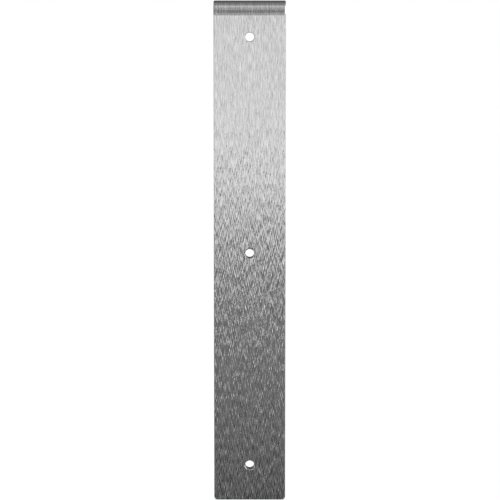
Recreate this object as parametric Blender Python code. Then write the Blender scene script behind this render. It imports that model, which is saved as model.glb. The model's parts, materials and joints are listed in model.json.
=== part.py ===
"""Kick plate: one length of flat steel bar, bent back square at its upper end and drilled for three screws.

Metres, +Z up. The origin is the centre of the lower end face. The front face looks along -Y, the back
face lies against the door, and the short return at the upper end runs back along +Y.

The plate is made the way a workshop makes it: the bar is drawn along its bent centre line, the corners
of both ends are rounded, all outer edges are eased, and then the holes are drilled and their rims eased.
"""

import math

import bmesh
import bpy
from mathutils import Matrix, Vector

INCH = 0.0254

# Stock bar
BAR_WIDTH = 1.5 * INCH
BAR_THICKNESS = 0.25 * INCH

# Bent plate
PLATE_HEIGHT = 10.5 * INCH
RETURN_DEPTH = 0.75 * INCH  # from the front face to the tip of the return
BEND_INNER_RADIUS = INCH / 16
CORNER_RADIUS = INCH / 16
EDGE_RADIUS = 0.0007

# Screw holes, in one line up the middle of the plate
HOLE_DIAMETER = 3 / 16 * INCH
HOLE_COUNT = 3
HOLE_SPACING = 4.5 * INCH
LOWEST_HOLE_HEIGHT = 0.75 * INCH
RIM_RADIUS = 0.0003

# How finely the round stretches are divided
BEND_SEGMENTS = 16
CORNER_SEGMENTS = 6
EDGE_SEGMENTS = 4
RIM_SEGMENTS = 3
HOLE_SEGMENTS = 48

# The easing of the outer edges leaves facets that turn by less than this, and the drilled rims turn by more
RIM_ANGLE = math.radians(60)
EDGE_ANGLE = math.radians(40)

# Brushed steel
STEEL_COLOUR = (0.56, 0.56, 0.57, 1.0)
STEEL_METALLIC = 1.0
STEEL_ROUGHNESS = 0.32


def clear_scene():
    """Removes every object that the scene holds."""
    for thing in list(bpy.data.objects):
        bpy.data.objects.remove(thing)


def brushed_steel():
    """The plate's material."""
    material = bpy.data.materials.new("brushed_steel")
    material.use_nodes = True
    surface = material.node_tree.nodes["Principled BSDF"]
    surface.inputs["Base Color"].default_value = STEEL_COLOUR
    surface.inputs["Metallic"].default_value = STEEL_METALLIC
    surface.inputs["Roughness"].default_value = STEEL_ROUGHNESS
    return material


def bar_stations():
    """Where the bar's cross-section stands along its centre line: (centre, direction out of the outer face)."""
    centre_radius = BEND_INNER_RADIUS + BAR_THICKNESS / 2
    outer_radius = BEND_INNER_RADIUS + BAR_THICKNESS
    bend_centre = Vector((0, centre_radius, PLATE_HEIGHT - outer_radius))
    stations = [(Vector((0, 0, 0)), Vector((0, -1, 0)))]
    for step in range(BEND_SEGMENTS + 1):
        angle = math.radians(90) * step / BEND_SEGMENTS
        outward = Vector((0, -math.cos(angle), math.sin(angle)))
        stations.append((bend_centre + centre_radius * outward, outward))
    tip = Vector((0, RETURN_DEPTH - BAR_THICKNESS / 2, PLATE_HEIGHT - BAR_THICKNESS / 2))
    stations.append((tip, Vector((0, 0, 1))))
    return stations


def cross_section(shape, centre, outward):
    """Adds the four corners of the bar's cross-section at one station."""
    across = Vector((BAR_WIDTH / 2, 0, 0))
    through = outward * BAR_THICKNESS / 2
    corners = (through - across, through + across, -through + across, -through - across)
    return [shape.verts.new(centre + corner) for corner in corners]


def round_end_corners(shape, ends):
    """Rounds the corners of the bar's two ends, along the edges that run through its thickness."""
    corner_edges = []
    for outer_left, outer_right, inner_right, inner_left in ends:
        corner_edges.append(shape.edges.get((outer_left, inner_left)))
        corner_edges.append(shape.edges.get((outer_right, inner_right)))
    bmesh.ops.bevel(
        shape,
        geom=corner_edges,
        offset=CORNER_RADIUS,
        offset_type="OFFSET",
        segments=CORNER_SEGMENTS,
        profile=0.5,
        affect="EDGES",
    )


def bent_bar_mesh():
    """The bar drawn along its bent centre line, closed at both ends."""
    shape = bmesh.new()
    sections = [cross_section(shape, centre, outward) for centre, outward in bar_stations()]
    for lower, upper in zip(sections, sections[1:]):
        for side in range(4):
            after = (side + 1) % 4
            shape.faces.new((lower[side], lower[after], upper[after], upper[side]))
    shape.faces.new(reversed(sections[0]))
    shape.faces.new(sections[-1])
    round_end_corners(shape, (sections[0], sections[-1]))
    bmesh.ops.recalc_face_normals(shape, faces=shape.faces)
    mesh = bpy.data.meshes.new("kick_plate")
    shape.to_mesh(mesh)
    shape.free()
    mesh.shade_smooth()
    return mesh


def ease_edges(plate, name, width, segments, sharper_than):
    """Rounds every edge of the plate that turns by more than the given angle."""
    bevel = plate.modifiers.new(name, "BEVEL")
    bevel.limit_method = "ANGLE"
    bevel.angle_limit = sharper_than
    bevel.width = width
    bevel.segments = segments
    bevel.use_clamp_overlap = False


def drill(plate, number, height):
    """Drills one screw hole through the plate, at a height on its centre line."""
    shape = bmesh.new()
    bmesh.ops.create_cone(
        shape,
        cap_ends=True,
        segments=HOLE_SEGMENTS,
        radius1=HOLE_DIAMETER / 2,
        radius2=HOLE_DIAMETER / 2,
        depth=2 * BAR_THICKNESS,
        matrix=Matrix.Rotation(math.radians(90), 4, "X"),
    )
    mesh = bpy.data.meshes.new(f"drill_{number}")
    shape.to_mesh(mesh)
    shape.free()
    mesh.shade_smooth()
    cutter = bpy.data.objects.new(f"drill_{number}", mesh)
    cutter.location.z = height
    cutter.hide_render = True
    cutter.display_type = "WIRE"
    bpy.context.scene.collection.objects.link(cutter)
    cut = plate.modifiers.new(f"hole_{number}", "BOOLEAN")
    cut.operation = "DIFFERENCE"
    cut.solver = "EXACT"
    cut.object = cutter


def kick_plate():
    """The finished plate."""
    plate = bpy.data.objects.new("kick_plate", bent_bar_mesh())
    plate.data.materials.append(brushed_steel())
    bpy.context.scene.collection.objects.link(plate)
    ease_edges(plate, "eased_edges", EDGE_RADIUS, EDGE_SEGMENTS, EDGE_ANGLE)
    for number in range(HOLE_COUNT):
        drill(plate, number, LOWEST_HOLE_HEIGHT + number * HOLE_SPACING)
    ease_edges(plate, "eased_rims", RIM_RADIUS, RIM_SEGMENTS, RIM_ANGLE)


clear_scene()
kick_plate()
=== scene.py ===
"""Looks of the kick plate: a finely modelled plate in brushed steel, in a white studio.

The plate is made as a workshop makes it. A flat blank is cut to its outline, its edges are eased and its
screw holes drilled, and then it is bent over its centre line. Metres, in the frame of the CAD part: the
front face looks along -Y, +Z is up, and the return at the top runs back along +Y.
"""

import json
import math

import bmesh
import bpy
from mathutils import Matrix, Vector


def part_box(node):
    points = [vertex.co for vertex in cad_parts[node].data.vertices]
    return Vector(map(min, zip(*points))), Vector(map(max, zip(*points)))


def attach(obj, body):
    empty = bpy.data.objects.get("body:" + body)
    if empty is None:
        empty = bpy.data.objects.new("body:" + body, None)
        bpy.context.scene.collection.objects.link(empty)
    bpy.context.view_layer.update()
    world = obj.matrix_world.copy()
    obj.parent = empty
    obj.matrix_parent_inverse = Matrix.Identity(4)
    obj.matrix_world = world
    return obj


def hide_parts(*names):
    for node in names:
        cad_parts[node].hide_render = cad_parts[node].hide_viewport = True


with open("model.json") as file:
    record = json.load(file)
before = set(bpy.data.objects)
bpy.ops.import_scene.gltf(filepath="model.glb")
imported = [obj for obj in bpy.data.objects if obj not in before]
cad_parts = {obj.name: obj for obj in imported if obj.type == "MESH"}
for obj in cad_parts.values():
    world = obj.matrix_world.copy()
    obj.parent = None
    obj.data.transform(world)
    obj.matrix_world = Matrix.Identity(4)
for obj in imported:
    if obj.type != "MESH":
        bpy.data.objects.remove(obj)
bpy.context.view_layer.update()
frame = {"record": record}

MILLIMETRE = 0.001
QUARTER_TURN = math.radians(90)

# The plate's sizes, from the CAD part. The origin is halfway through its thickness.
NODE = "kick_plate"
BODY = "root"
node_low, node_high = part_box(NODE)
WIDTH = node_high.x - node_low.x
HEIGHT = node_high.z - node_low.z
THICKNESS = -2 * node_low.y
RETURN_TIP = node_high.y
BEND_INNER_RADIUS = THICKNESS / 4
CORNER_RADIUS = THICKNESS / 4
HOLE_RADIUS = THICKNESS * 3 / 8
EDGE_RADIUS = 0.7 * MILLIMETRE
RIM_RADII = (0.5 * MILLIMETRE, 0.45 * MILLIMETRE, 0.25 * MILLIMETRE)  # from the lowest hole up

# Heights of the screw holes' axes, from the seats that the record states just below them
SEAT_BELOW_HOLE = 4.7 * MILLIMETRE
screw_seats = [mount for mount in frame["record"]["mounts"] if mount["name"].endswith("_screw_seat")]
HOLE_HEIGHTS = sorted(seat["pos_m"][2] + SEAT_BELOW_HOLE for seat in screw_seats)

# The bend: the blank's centre line keeps its length
CENTRE_RADIUS = BEND_INNER_RADIUS + THICKNESS / 2
BEND_CENTRE = Vector((0, CENTRE_RADIUS, HEIGHT - CENTRE_RADIUS - THICKNESS / 2))
BEND_START = BEND_CENTRE.z
BEND_END = BEND_START + CENTRE_RADIUS * QUARTER_TURN
BLANK_LENGTH = BEND_END + RETURN_TIP - BEND_CENTRE.y

# How finely the plate is divided
CORNER_SEGMENTS = 10
EDGE_SEGMENTS = 6
RIM_SEGMENTS = 5
HOLE_SEGMENTS = 96
BEND_CUTS = 48
CUT_SPACING = 4 * MILLIMETRE
MERGE_DISTANCE = 1e-7
ROUND_PROFILE = 0.5
FLAT_FACE_WEIGHT = 100

# Edges that turn by more than these angles are eased: the blank's own, then the drilled rims
EDGE_ANGLE = math.radians(30)
RIM_ANGLE = math.radians(60)

# Where the across-grain coordinate of each surface starts, so that no pattern repeats on another. A face
# belongs to the front or the back when it looks within 45 degrees of that way.
FACING = math.cos(math.radians(45))
BACK_GRAIN = 0.1
HOLE_GRAIN = 0.2
SIDE_GRAIN = 0.3
END_GRAIN = 0.4


def link_object(name, mesh):
    """A new object that shows a mesh."""
    thing = bpy.data.objects.new(name, mesh)
    bpy.context.scene.collection.objects.link(thing)
    return thing


def evaluated_mesh(thing):
    """A plain mesh of an object with its modifiers applied."""
    graph = bpy.context.evaluated_depsgraph_get()
    return bpy.data.meshes.new_from_object(thing.evaluated_get(graph), depsgraph=graph)


# The plate's shape


def runs_through(edge):
    """Whether an edge of the blank runs through its thickness."""
    start, end = (vertex.co for vertex in edge.verts)
    return abs(start.y - end.y) > THICKNESS / 2


def blank_outline():
    """The flat blank: a slab with four rounded corners, standing on the XY plane."""
    shape = bmesh.new()
    size = Matrix.Diagonal((WIDTH, THICKNESS, BLANK_LENGTH, 1))
    bmesh.ops.create_cube(shape, size=1, matrix=Matrix.Translation((0, 0, BLANK_LENGTH / 2)) @ size)
    bmesh.ops.bevel(
        shape,
        geom=[edge for edge in shape.edges if runs_through(edge)],
        offset=CORNER_RADIUS,
        offset_type="OFFSET",
        segments=CORNER_SEGMENTS,
        profile=ROUND_PROFILE,
        affect="EDGES",
    )
    mesh = bpy.data.meshes.new("blank")
    shape.to_mesh(mesh)
    shape.free()
    return mesh


def ease_edges(blank, width, segments, sharper_than):
    """Rounds every edge of the blank that turns by more than the given angle."""
    bevel = blank.modifiers.new("eased", "BEVEL")
    bevel.limit_method = "ANGLE"
    bevel.angle_limit = sharper_than
    bevel.width = width
    bevel.segments = segments
    bevel.use_clamp_overlap = False


def drill(blank, height):
    """Cuts one screw hole and returns the drill, which is removed once the cut is applied."""
    shape = bmesh.new()
    bmesh.ops.create_cone(
        shape,
        cap_ends=True,
        segments=HOLE_SEGMENTS,
        radius1=HOLE_RADIUS,
        radius2=HOLE_RADIUS,
        depth=2 * THICKNESS,
        matrix=Matrix.Translation((0, 0, height)) @ Matrix.Rotation(QUARTER_TURN, 4, "X"),
    )
    mesh = bpy.data.meshes.new("drill")
    shape.to_mesh(mesh)
    shape.free()
    cutter = link_object("drill", mesh)
    cut = blank.modifiers.new("hole", "BOOLEAN")
    cut.operation = "DIFFERENCE"
    cut.solver = "EXACT"
    cut.object = cutter
    return cutter


def finished_blank():
    """The flat blank with eased edges and drilled holes, as a bmesh."""
    blank = link_object("blank", blank_outline())
    ease_edges(blank, EDGE_RADIUS, EDGE_SEGMENTS, EDGE_ANGLE)
    drills = []
    for height, rim_radius in zip(HOLE_HEIGHTS, RIM_RADII):
        drills.append(drill(blank, height))
        ease_edges(blank, rim_radius, RIM_SEGMENTS, RIM_ANGLE)
    mesh = evaluated_mesh(blank)
    for thing in (blank, *drills):
        bpy.data.objects.remove(thing)
    shape = bmesh.new()
    shape.from_mesh(mesh)
    bpy.data.meshes.remove(mesh)
    return shape


def even_steps(start, end, spacing):
    """Evenly spaced places strictly between two ends, at most a spacing apart."""
    count = math.ceil((end - start) / spacing)
    return [start + (end - start) * step / count for step in range(1, count)]


def divide(shape):
    """Cuts the blank across and along, finely where it will bend, so that it can follow the bend."""
    bend_step = (BEND_END - BEND_START) / BEND_CUTS
    heights = even_steps(EDGE_RADIUS, BEND_START, CUT_SPACING)
    heights += [BEND_START + step * bend_step for step in range(BEND_CUTS + 1)]
    heights += even_steps(BEND_END, BLANK_LENGTH - EDGE_RADIUS, CUT_SPACING)
    places = even_steps(EDGE_RADIUS - WIDTH / 2, WIDTH / 2 - EDGE_RADIUS, CUT_SPACING)
    planes = [(Vector((0, 0, height)), Vector((0, 0, 1))) for height in heights]
    planes += [(Vector((place, 0, 0)), Vector((1, 0, 0))) for place in places]
    for point, normal in planes:
        bmesh.ops.bisect_plane(
            shape,
            geom=shape.verts[:] + shape.edges[:] + shape.faces[:],
            dist=MERGE_DISTANCE,
            plane_co=point,
            plane_no=normal,
        )


def nearest_hole(point):
    """The axis height of the hole nearest to a point of the blank, and the point's distance from it."""
    height = min(HOLE_HEIGHTS, key=lambda axis_height: abs(point.z - axis_height))
    return height, math.hypot(point.x, point.z - height)


def edge_distance(point):
    """How far a point on the blank's surface is from the nearest outer edge or hole rim."""
    from_sides = WIDTH / 2 - abs(point.x)
    from_faces = THICKNESS / 2 - abs(point.y)
    from_ends = min(point.z, BLANK_LENGTH - point.z)
    from_outer_edge = sorted((from_sides, from_faces, from_ends))[1]
    from_axis = nearest_hole(point)[1]
    from_rim = max(abs(from_axis - HOLE_RADIUS), from_faces)
    return max(0.0, min(from_outer_edge, from_rim))


def grain_place(face, point):
    """Across-grain and along-grain coordinates of one corner of a face of the blank, in metres."""
    middle = face.calc_center_median()
    height, from_axis = nearest_hole(middle)
    if abs(face.normal.y) >= FACING:
        return point.x + (BACK_GRAIN if face.normal.y > 0 else 0), point.z
    if from_axis < HOLE_RADIUS + max(RIM_RADII):
        around = math.atan2(middle.x, middle.z - height)
        turn = math.atan2(point.x, point.z - height) - around
        turn -= math.tau * round(turn / math.tau)
        return point.y + HOLE_GRAIN, (around + turn) * HOLE_RADIUS
    if abs(face.normal.x) >= abs(face.normal.z):
        return point.y + math.copysign(SIDE_GRAIN, face.normal.x), point.z
    return point.y + math.copysign(END_GRAIN, face.normal.z), point.x


def mark_surface(shape):
    """Stores where the grain runs and how far the edges are, while the blank is still flat."""
    grain = shape.loops.layers.uv.new("grain")
    edge = shape.verts.layers.float.new("edge_distance")
    shape.normal_update()
    for vertex in shape.verts:
        vertex[edge] = edge_distance(vertex.co)
    for face in shape.faces:
        for corner in face.loops:
            corner[grain].uv = grain_place(face, corner.vert.co)


def bent(point):
    """Where a point of the flat blank goes when the plate is bent."""
    if point.z <= BEND_START:
        return point
    depth = CENTRE_RADIUS - point.y
    if point.z >= BEND_END:
        return Vector((point.x, BEND_CENTRE.y + point.z - BEND_END, BEND_CENTRE.z + depth))
    angle = (point.z - BEND_START) / CENTRE_RADIUS
    return BEND_CENTRE + Vector((point.x, -depth * math.cos(angle), depth * math.sin(angle)))


def build_plate():
    """The bent plate, shaded smooth with its flats kept flat, in place of the CAD node."""
    shape = finished_blank()
    divide(shape)
    mark_surface(shape)
    for vertex in shape.verts:
        vertex.co = bent(vertex.co.copy())
    mesh = bpy.data.meshes.new("brushed_plate")
    shape.to_mesh(mesh)
    shape.free()
    mesh.shade_smooth()
    plate = link_object("brushed_plate", mesh)
    flats = plate.modifiers.new("flat_faces_stay_flat", "WEIGHTED_NORMAL")
    flats.keep_sharp = True
    flats.weight = FLAT_FACE_WEIGHT
    plate.data.materials.append(brushed_steel())
    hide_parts(NODE)
    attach(plate, BODY)


# Shader nodes


def add(tree, kind, inputs=None, **settings):
    """Adds a shader node. Each input is a value, or another node's output to link from."""
    made = tree.nodes.new(kind)
    for name, value in settings.items():
        setattr(made, name, value)
    for name, value in (inputs or {}).items():
        if isinstance(value, bpy.types.NodeSocket):
            tree.links.new(value, made.inputs[name])
        else:
            made.inputs[name].default_value = value
    return made


def maths(tree, operation, *values):
    """The result of a Math node."""
    return add(tree, "ShaderNodeMath", dict(enumerate(values)), operation=operation).outputs[0]


def product(tree, first, *others):
    """Several values multiplied together."""
    result = first
    for factor in others:
        result = maths(tree, "MULTIPLY", result, factor)
    return result


def remap(tree, value, old_range, new_range, interpolation="LINEAR"):
    """A value taken from one range to another, clamped to it."""
    inputs = {
        "Value": value,
        "From Min": old_range[0],
        "From Max": old_range[1],
        "To Min": new_range[0],
        "To Max": new_range[1],
    }
    return add(tree, "ShaderNodeMapRange", inputs, interpolation_type=interpolation).outputs["Result"]


def fade(tree, value, old_range, new_range):
    """A value taken softly from one level to another, over a range."""
    return remap(tree, value, old_range, new_range, "SMOOTHSTEP")


# The steel. Its patterns are noise drawn out along the grain, with their tilts in degrees. A start only
# picks another stretch of the same noise, and the spreads are the parts of the noise's range that are used.
FINE_GRAIN = {"width": 0.35 * MILLIMETRE, "length": 5 * MILLIMETRE, "start": 3.1}
LONG_GRAIN = {"width": 0.4 * MILLIMETRE, "length": 25 * MILLIMETRE, "start": 9.4}
SMUDGES = {"width": 20 * MILLIMETRE, "length": 45 * MILLIMETRE, "start": 5.7, "detail": 3.0}
CROSSING = {"width": 0.5 * MILLIMETRE, "length": 6.2 * MILLIMETRE, "detail": 0.0}
CROSSING_TILT = 8.5
CROSSING_STARTS = (17.3, 41.9)
SCRATCHES = {"width": 0.4 * MILLIMETRE, "length": 6 * MILLIMETRE, "detail": 0.0}
SCRATCH_TILT = 4
SCRATCH_STARTS = (63.2, 88.8)
SCRATCH_SPREAD = (0.56, 0.8)
GRAIN_SPREAD = (0.2, 0.8)
MIDDLE_SPREAD = (0.3, 0.7)
NOISE_ROUGHNESS = 0.6

# Wear: polished up to the first distance from an edge, and not past the second, with a ragged border
WEAR_BORDER = (0.3 * MILLIMETRE, 1.2 * MILLIMETRE)
WEAR_RAGGEDNESS = 0.5 * MILLIMETRE

# Tone, as a factor for each pattern and a small gain on worn edges
STEEL_TONE = 0.6
SCRATCH_TONE = STEEL_TONE * 1.14
FINE_CONTRAST = 0.3
LONG_CONTRAST = 0.1
SMUDGE_CONTRAST = 0.01
WORN_GAIN = 0.02

# Roughness: the grain's own range, and what scratches and worn edges add to it
GRAIN_ROUGHNESS = (0.075, 0.155)
SCRATCH_ROUGHNESS = 0.19
WORN_ROUGHNESS = -0.04

# Relief: deepest near the lower end, and a quarter as deep in the bend
GRAIN_DEPTH = 0.118 * MILLIMETRE
SCRATCH_DEPTH = 0.03 * MILLIMETRE
BRUSHING_HEIGHTS = (HEIGHT / 9, HEIGHT * 3 / 4)
BRUSHING_DEPTHS = (1.3, 0.8)
PRESSED_HEIGHTS = (BEND_START - MILLIMETRE, BEND_START + MILLIMETRE)
PRESSED_DEPTHS = (1.0, 0.25)


def streaks(tree, place, width, length, tilt=0.0, start=0.0, detail=1.0):
    """Noise drawn out along the grain, from 0 to 1. The tilt is in degrees, sizes in metres."""
    turned = add(
        tree,
        "ShaderNodeVectorRotate",
        {"Vector": place, "Angle": math.radians(tilt)},
        rotation_type="Z_AXIS",
    ).outputs[0]
    stretched = add(
        tree,
        "ShaderNodeVectorMath",
        {0: turned, 1: (1 / width, 1 / length, 1), 2: (start, start, 0)},
        operation="MULTIPLY_ADD",
    ).outputs[0]
    noise = add(
        tree,
        "ShaderNodeTexNoise",
        {"Vector": stretched, "Scale": 1.0, "Detail": detail, "Roughness": NOISE_ROUGHNESS},
        noise_dimensions="2D",
    )
    return noise.outputs["Fac"]


def leaning_streaks(tree, place, tilt, starts, pattern):
    """The same kind of streaks twice, leaning to each side of the grain."""
    leans = zip((tilt, -tilt), starts)
    return [streaks(tree, place, tilt=lean, start=start, **pattern) for lean, start in leans]


def coarse_scratches(tree, place):
    """Sparse coarser scratches: 1 in the middle of a scratch, 0 between them."""
    strongest = maths(tree, "MAXIMUM", *leaning_streaks(tree, place, SCRATCH_TILT, SCRATCH_STARTS, SCRATCHES))
    return fade(tree, strongest, SCRATCH_SPREAD, (0.0, 1.0))


def edge_wear(tree, fine):
    """1 where handling has polished the edges, fading to 0 away from them."""
    distance = add(tree, "ShaderNodeAttribute", attribute_name="edge_distance").outputs["Fac"]
    ragged = maths(tree, "MULTIPLY_ADD", fine, WEAR_RAGGEDNESS, distance)
    return fade(tree, ragged, WEAR_BORDER, (1.0, 0.0))


def steel_colour(tree, place, fine, scratches, worn):
    """A neutral grey, streaked by the grain, a little lighter in scratches and on worn edges."""
    tone = remap(tree, scratches, (0.0, 1.0), (STEEL_TONE, SCRATCH_TONE))
    patterns = (
        (fine, GRAIN_SPREAD, FINE_CONTRAST),
        (streaks(tree, place, **LONG_GRAIN), GRAIN_SPREAD, LONG_CONTRAST),
        (streaks(tree, place, **SMUDGES), MIDDLE_SPREAD, SMUDGE_CONTRAST),
    )
    for pattern, spread, contrast in patterns:
        tone = product(tree, tone, remap(tree, pattern, spread, (1 - contrast, 1 + contrast)))
    tone = maths(tree, "MULTIPLY_ADD", worn, WORN_GAIN, tone)
    return add(tree, "ShaderNodeCombineColor", {"Red": tone, "Green": tone, "Blue": tone}).outputs[0]


def steel_roughness(tree, fine, scratches, worn):
    """Rougher with the grain and in scratches, smoother on worn edges."""
    roughness = remap(tree, fine, MIDDLE_SPREAD, GRAIN_ROUGHNESS)
    roughness = maths(tree, "MULTIPLY_ADD", scratches, SCRATCH_ROUGHNESS, roughness)
    return maths(tree, "MULTIPLY_ADD", worn, WORN_ROUGHNESS, roughness)


def steel_relief(tree, place, scratches):
    """Normals of the fine relief that the crossing hairlines and the scratches leave."""
    crossing = maths(tree, "ADD", *leaning_streaks(tree, place, CROSSING_TILT, CROSSING_STARTS, CROSSING))
    about_zero = maths(tree, "MULTIPLY_ADD", crossing, 0.5, -0.5)
    relief = maths(tree, "MULTIPLY", about_zero, GRAIN_DEPTH)
    relief = maths(tree, "MULTIPLY_ADD", scratches, -SCRATCH_DEPTH, relief)
    along = add(tree, "ShaderNodeSeparateXYZ", {"Vector": place}).outputs["Y"]
    pressed = fade(tree, along, PRESSED_HEIGHTS, PRESSED_DEPTHS)
    brushed = fade(tree, along, BRUSHING_HEIGHTS, BRUSHING_DEPTHS)
    relief = product(tree, relief, pressed, brushed)
    return add(tree, "ShaderNodeBump", {"Height": relief, "Strength": 1.0, "Distance": 1.0}).outputs[0]


def brushed_steel():
    """Uncoated steel with a straight brushed grain, a few deeper scratches and lightly polished edges."""
    material = bpy.data.materials.new("brushed_steel")
    material.use_nodes = True
    tree = material.node_tree
    surface = tree.nodes["Principled BSDF"]
    place = add(tree, "ShaderNodeUVMap", uv_map="grain").outputs[0]
    fine = streaks(tree, place, **FINE_GRAIN)
    scratches = coarse_scratches(tree, place)
    worn = edge_wear(tree, fine)
    across = add(tree, "ShaderNodeTangent", direction_type="UV_MAP", uv_map="grain")
    looks = {
        "Base Color": steel_colour(tree, place, fine, scratches, worn),
        "Roughness": steel_roughness(tree, fine, scratches, worn),
        "Normal": steel_relief(tree, place, scratches),
        "Tangent": across.outputs[0],
    }
    for name, result in looks.items():
        tree.links.new(result, surface.inputs[name])
    surface.inputs["Metallic"].default_value = 1.0
    surface.inputs["Anisotropic"].default_value = 1.0
    return material


# The studio

# How bright the studio looks in a reflection, by the angle in degrees from the front horizon over the top:
# -180 and 180 are the horizon behind the plate, -90 the floor below, 0 the front horizon, 90 the ceiling.
STUDIO_LEVELS = (
    (-180, 0.05),
    (-24, 0.015),
    (-16.5, 0.03),
    (-14.6, 0.06),
    (-12.9, 0.135),
    (-11.7, 0.215),
    (-10.5, 0.23),
    (-8.9, 0.18),
    (-7.75, 0.15),
    (-6.95, 0.165),
    (-6.35, 0.9),
    (-5.95, 1),
    (-4.4, 1),
    (-3.6, 0.875),
    (0.9, 0.88),
    (2.5, 0.472),
    (12, 0.415),
    (18, 0.396),
    (23, 0.264),
    (30, 0.245),
    (39, 0.215),
    (47, 0.4),
    (63, 0.43),
    (73, 0.66),
    (78, 0.642),
    (84, 0.415),
    (95, 0.264),
    (106, 0.241),
    (120, 0.17),
    (137, 0.109),
    (180, 0.0472),
)
STUDIO_GAIN = 1.21

# The reflected studio away from the bands. A pair of places is where a part of it starts to fade in or out
# and where that ends: along X (to the right) or Y (to the back) of a unit direction, or in degrees up. The
# sides start at the same distance on the left.
SIDES_START = (0.25, 0.5)
SIDE_GAIN = 0.75
FLOOR_ELEVATION = (-26, -14)
FLOOR_LEVELS = (0.55, 0.04)

BACK_START = (0.45, 0.65)
BACK_GLOW = 0.3
BACK_ELEVATION = (-12, -7)

WALL_START = (0.4, 0.7)
WALL_END = (0.88, 0.97)
WALL_END_LEVEL = 0.25
WALL_ELEVATION = (-16, -3)
WALL_LEVEL = 0.3

WINDOW_START = (0.6, 0.85)
WINDOW_SILL = (0, 18)
WINDOW_HEAD = (50, 70)
WINDOW_LEVEL = 2.4

# The backdrop is plain white, and in the soft light the floor comes out just as white
BACKDROP_LEVEL = 1.0
FLOOR_TONE = 0.9
SOFT_LEVEL = 1.02 / FLOOR_TONE
FLOOR_DROP = 0.3
FLOOR_SIZE = 20.0

# The camera is level with the plate's top edge and looks slightly down on it, from straight ahead
CAMERA_DISTANCE = 29.44 * WIDTH
CAMERA_PITCH = math.radians(6.83)
CAMERA_TILT = math.radians(6.7505)
CAMERA_SIDE = 0.17 * MILLIMETRE
LENS_LENGTH = 151.83
CLIP_END = 100


def studio_level(tree, angle):
    """How bright the studio is at an angle in radians, read from its levels."""
    place = remap(tree, angle, (-math.pi, math.pi), (0.0, 1.0))
    levels = add(tree, "ShaderNodeValToRGB", {"Fac": place})
    ramp = levels.color_ramp
    while len(ramp.elements) > 1:
        ramp.elements.remove(ramp.elements[-1])
    for number, (degrees, level) in enumerate(STUDIO_LEVELS):
        position = (degrees + 180) / 360
        stop = ramp.elements[0] if number == 0 else ramp.elements.new(position)
        stop.position = position
        stop.color = (level, level, level, 1)
    level = add(tree, "ShaderNodeSeparateColor", {"Color": levels.outputs["Color"]}).outputs["Red"]
    return maths(tree, "MULTIPLY", level, STUDIO_GAIN)


def fade_up(tree, elevation, degrees, levels):
    """A level that changes softly between two elevations, which are given in degrees."""
    lower, upper = degrees
    return fade(tree, elevation, (math.radians(lower), math.radians(upper)), levels)


def studio_bands(tree, axes):
    """Level bands before, over and behind the plate."""
    front = maths(tree, "MULTIPLY", axes["Y"], -1)
    return studio_level(tree, maths(tree, "ARCTAN2", axes["Z"], front))


def studio_sides(tree, elevation):
    """The bands to the plate's left and right, dimmer, over a lit floor."""
    lit_floor = fade_up(tree, elevation, FLOOR_ELEVATION, FLOOR_LEVELS)
    return maths(tree, "MULTIPLY_ADD", studio_level(tree, elevation), SIDE_GAIN, lit_floor)


def glow_behind(tree, axes, elevation, sideways):
    """A glow behind the plate, low down and away from its centre line."""
    back = fade(tree, axes["Y"], BACK_START, (0.0, BACK_GLOW))
    low = fade_up(tree, elevation, BACK_ELEVATION, (1.0, 0.0))
    return product(tree, back, sideways, low)


def right_wall(tree, axes, elevation):
    """A grey wall on the right, darker towards its far end."""
    wall = fade_up(tree, elevation, WALL_ELEVATION, (0.0, WALL_LEVEL))
    start = fade(tree, axes["X"], WALL_START, (0.0, 1.0))
    end = fade(tree, axes["X"], WALL_END, (1.0, WALL_END_LEVEL))
    return product(tree, wall, start, end)


def right_window(tree, axes, elevation):
    """A bright window high on the right."""
    sill = fade_up(tree, elevation, WINDOW_SILL, (0.0, WINDOW_LEVEL))
    head = fade_up(tree, elevation, WINDOW_HEAD, (1.0, 0.0))
    start = fade(tree, axes["X"], WINDOW_START, (0.0, 1.0))
    return product(tree, sill, head, start)


def reflected_studio(tree):
    """What the steel reflects: bands straight ahead, dimmer sides, and a wall and a window on the right."""
    direction = add(tree, "ShaderNodeTexCoord").outputs["Generated"]
    axes = add(tree, "ShaderNodeSeparateXYZ", {"Vector": direction}).outputs
    elevation = maths(tree, "ARCSINE", axes["Z"])
    sideways = fade(tree, maths(tree, "ABSOLUTE", axes["X"]), SIDES_START, (0.0, 1.0))
    ahead = maths(tree, "SUBTRACT", 1.0, sideways)
    level = maths(tree, "MULTIPLY", studio_bands(tree, axes), ahead)
    level = maths(tree, "MULTIPLY_ADD", studio_sides(tree, elevation), sideways, level)
    level = maths(tree, "ADD", level, glow_behind(tree, axes, elevation, sideways))
    level = maths(tree, "ADD", level, right_wall(tree, axes, elevation))
    return maths(tree, "ADD", level, right_window(tree, axes, elevation))


def white_light(tree, strength):
    """A plain white background shader."""
    light = add(tree, "ShaderNodeBackground", {"Color": (1, 1, 1, 1), "Strength": strength})
    return light.outputs[0]


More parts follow.
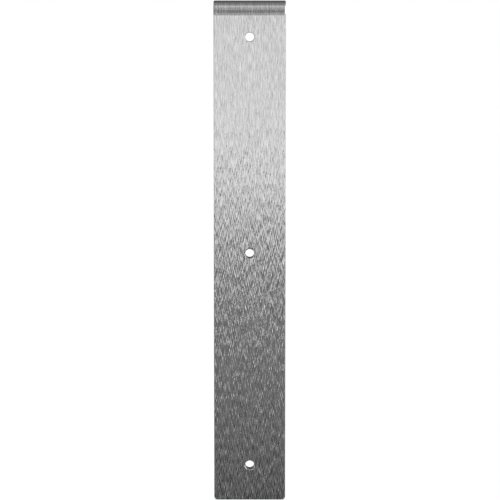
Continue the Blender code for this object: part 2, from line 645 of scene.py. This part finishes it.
def chosen(tree, ray, otherwise, when_true):
    """One of two shaders, by whether the ray is of a kind."""
    return add(tree, "ShaderNodeMixShader", {0: ray, 1: otherwise, 2: when_true}).outputs[0]


def studio_world():
    """A white studio: plain white to look at and for soft light, with its bands and window in reflections."""
    world = bpy.data.worlds.new("studio")
    world.use_nodes = True
    world.cycles.sampling_method = "NONE"
    bpy.context.scene.world = world
    tree = world.node_tree
    rays = add(tree, "ShaderNodeLightPath").outputs
    reflected = white_light(tree, reflected_studio(tree))
    lit = chosen(tree, rays["Is Diffuse Ray"], reflected, white_light(tree, SOFT_LEVEL))
    whole = chosen(tree, rays["Is Camera Ray"], lit, white_light(tree, BACKDROP_LEVEL))
    tree.links.new(whole, tree.nodes["World Output"].inputs["Surface"])


def pale_floor_material():
    """Plain matt off-white."""
    material = bpy.data.materials.new("pale_floor")
    material.use_nodes = True
    surface = material.node_tree.nodes["Principled BSDF"]
    surface.inputs["Base Color"].default_value = (FLOOR_TONE, FLOOR_TONE, FLOOR_TONE, 1)
    surface.inputs["Roughness"].default_value = 1.0
    surface.inputs["Specular IOR Level"].default_value = 0.0
    return material


def studio_floor():
    """A plain pale floor, far enough below the plate to catch no hard shadow."""
    shape = bmesh.new()
    bmesh.ops.create_grid(shape, x_segments=1, y_segments=1, size=FLOOR_SIZE / 2)
    mesh = bpy.data.meshes.new("floor")
    shape.to_mesh(mesh)
    shape.free()
    floor = link_object("floor", mesh)
    floor.location.z = -FLOOR_DROP
    floor.visible_glossy = False
    floor.data.materials.append(pale_floor_material())


def studio_camera():
    """A long lens that just holds the plate's height."""
    camera = link_object("camera", bpy.data.cameras.new("camera"))
    back = Vector((0, -math.cos(CAMERA_PITCH), math.sin(CAMERA_PITCH)))
    camera.location = Vector((CAMERA_SIDE, 0, HEIGHT / 2)) + back * CAMERA_DISTANCE
    camera.rotation_euler.x = QUARTER_TURN - CAMERA_TILT
    camera.data.lens = LENS_LENGTH
    camera.data.clip_end = CLIP_END
    bpy.context.scene.camera = camera


build_plate()
studio_world()
studio_floor()
studio_camera()
bpy.context.scene.view_settings.view_transform = "Standard"
